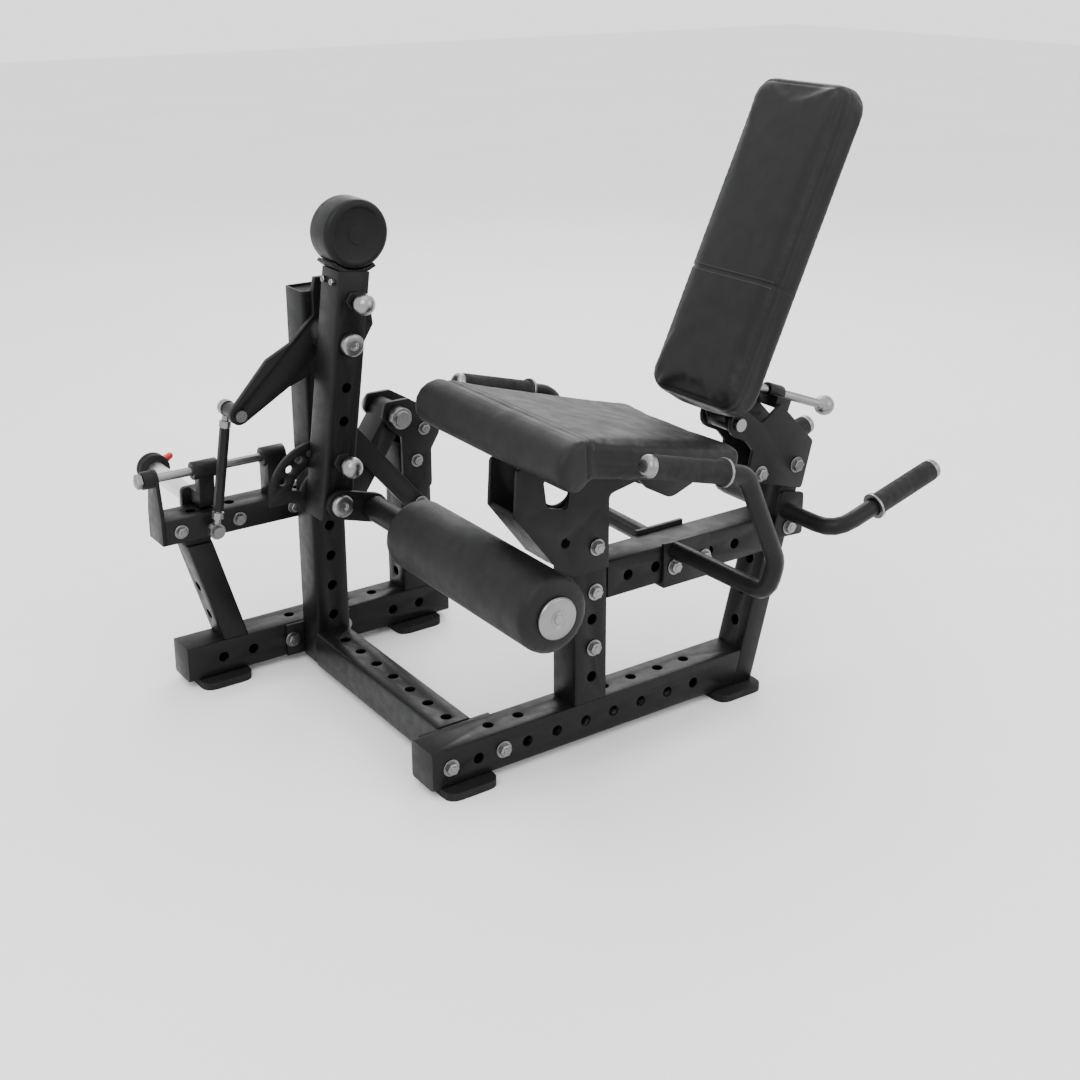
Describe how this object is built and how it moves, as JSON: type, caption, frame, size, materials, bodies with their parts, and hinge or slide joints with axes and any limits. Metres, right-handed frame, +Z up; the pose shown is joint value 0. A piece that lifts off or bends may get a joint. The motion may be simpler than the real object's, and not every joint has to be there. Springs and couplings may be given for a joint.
{
  "type": "lying leg curl machine",
  "caption": "Plate-loaded bench machine for leg extensions and lying leg curls, with a padded ankle roller, a linked weight lever and a reclining backrest.",
  "frame": {"origin": "on the floor under the middle of the overall box", "axes": "+Z up, +Y towards the backrest and rear handles, so the user faces -Y; the weight horn points to -X"},
  "size_m": [0.9868, 1.0458, 0.9398],
  "materials": {
    "black_paint": "satin black powder coat",
    "bright_steel": "bright plated steel",
    "black_vinyl": "fine-grained black vinyl",
    "black_rubber": "matt black rubber",
    "red_plastic": "glossy red plastic",
    "bronze": "machined bronze"
  },
  "bodies": {
    "frame": {"main_rail": "black_paint", "cross_beam": "black_paint", "tower_column": "black_paint", "far_rail": "black_paint", "far_upright": "black_paint", "rest_strut": "black_paint", "diagonal_brace": "black_paint", "seat_upright": "black_paint", "mid_beam": "black_paint", "rear_post": "black_paint", "head_plate_left": "black_paint", "head_plate_right": "black_paint", "seat_bracket": "black_paint", "pin_housing": "black_paint", "side_handles": "black_paint", "rear_handles": "black_paint", "shaft_sleeve": "black_paint", "backrest_hinge_bolt": "bright_steel", "main_shaft": "bright_steel", "lever_shaft": "bright_steel", "seat_pad": "black_vinyl", "rest_pad": "black_rubber", "foot_front_near": "black_rubber", "foot_rear_near": "black_rubber", "foot_front_far": "black_rubber", "foot_rear_far": "black_rubber", "side_grip_left": "black_rubber", "side_grip_right": "black_rubber", "rear_grip_left": "black_rubber", "rear_grip_right": "black_rubber"},
    "crank": {"crank": "black_paint", "crank_bush": "bronze", "link_bolt_upper": "bright_steel"},
    "leg_arm": {"leg_arm": "black_paint", "counterweight": "black_paint"},
    "upper_pin": {"upper_pin": "bright_steel"},
    "lower_pin": {"lower_pin": "bright_steel"},
    "roller_carrier": {"quadrant": "black_paint", "carrier_bar": "black_paint", "ankle_shaft": "bright_steel", "roller_axle": "black_paint", "roller_end_cap": "bright_steel"},
    "roller": {"roller_pad": "black_vinyl"},
    "link": {"link_eye_upper": "bright_steel", "link_eye_lower": "bright_steel", "link_turnbuckle": "black_paint", "link_bolt_lower": "bright_steel"},
    "weight_lever": {"weight_lever": "black_paint", "lever_bush": "bronze", "rod_end_plate": "black_paint", "guide_rod": "bright_steel", "rod_rear_block": "black_paint"},
    "carriage": {"carriage": "black_paint", "weight_horn": "bright_steel"},
    "horn_collar": {"horn_collar": "red_plastic"},
    "backrest": {"backrest_pad": "black_vinyl", "backrest_frame": "black_paint"},
    "backrest_pin": {"backrest_pin": "bright_steel"}
  },
  "joints": [
    {"name": "leg_swing", "type": "hinge", "parent": "frame", "child": "crank", "pos_m": [-0.1494, -0.2519, 0.562], "axis": [-1, 0, 0], "range_deg": [0, 70]},
    {"name": "arm_start_angle", "type": "hinge", "parent": "crank", "child": "leg_arm", "pos_m": [-0.0864, -0.2519, 0.562], "axis": [-1, 0, 0], "range_deg": [0, 70]},
    {"name": "upper_pin_pull", "type": "slide", "parent": "leg_arm", "child": "upper_pin", "axis": [1, 0, 0], "range_m": [-0.008, 0.01], "stiffness_N_per_m": 400},
    {"name": "lower_pin_pull", "type": "slide", "parent": "leg_arm", "child": "lower_pin", "axis": [1, 0, 0], "range_m": [-0.007, 0.01], "stiffness_N_per_m": 400},
    {"name": "roller_angle", "type": "hinge", "parent": "leg_arm", "child": "roller_carrier", "pos_m": [-0.0864, -0.2824, 0.321], "axis": [-1, 0, 0], "range_deg": [0, 72]},
    {"name": "roller_spin", "type": "hinge", "parent": "roller_carrier", "child": "roller", "pos_m": [0.2491, -0.2266, 0.3045], "axis": [1, 0, 0], "continuous": true},
    {"name": "link_pivot", "type": "hinge", "parent": "crank", "child": "link", "pos_m": [-0.1934, -0.3924, 0.456], "axis": [-1, 0, 0], "range_deg": [-70, 0]},
    {"name": "lever_swing", "type": "hinge", "parent": "frame", "child": "weight_lever", "pos_m": [-0.2474, -0.0924, 0.382], "axis": [-1, 0, 0], "range_deg": [0, 34]},
    {"name": "carriage_slide", "type": "slide", "parent": "weight_lever", "child": "carriage", "axis": [0, 1, 0], "range_m": [-0.05, 0.06]},
    {"name": "collar_slide", "type": "slide", "parent": "carriage", "child": "horn_collar", "axis": [1, 0, 0], "range_m": [0, 0.14]},
    {"name": "backrest_recline", "type": "hinge", "parent": "frame", "child": "backrest", "pos_m": [0.2481, 0.2026, 0.444], "axis": [-1, 0, 0], "range_deg": [0, 48]},
    {"name": "backrest_pin_pull", "type": "slide", "parent": "frame", "child": "backrest_pin", "axis": [0, 0.9348, -0.3551], "range_m": [-0.008, 0.018], "stiffness_N_per_m": 400}
  ],
  "couplings": [
    {"joint": "link_pivot", "follows": "leg_swing", "ratio": -0.989},
    {"joint": "lever_swing", "follows": "leg_swing", "ratio": 0.48}
  ]
}
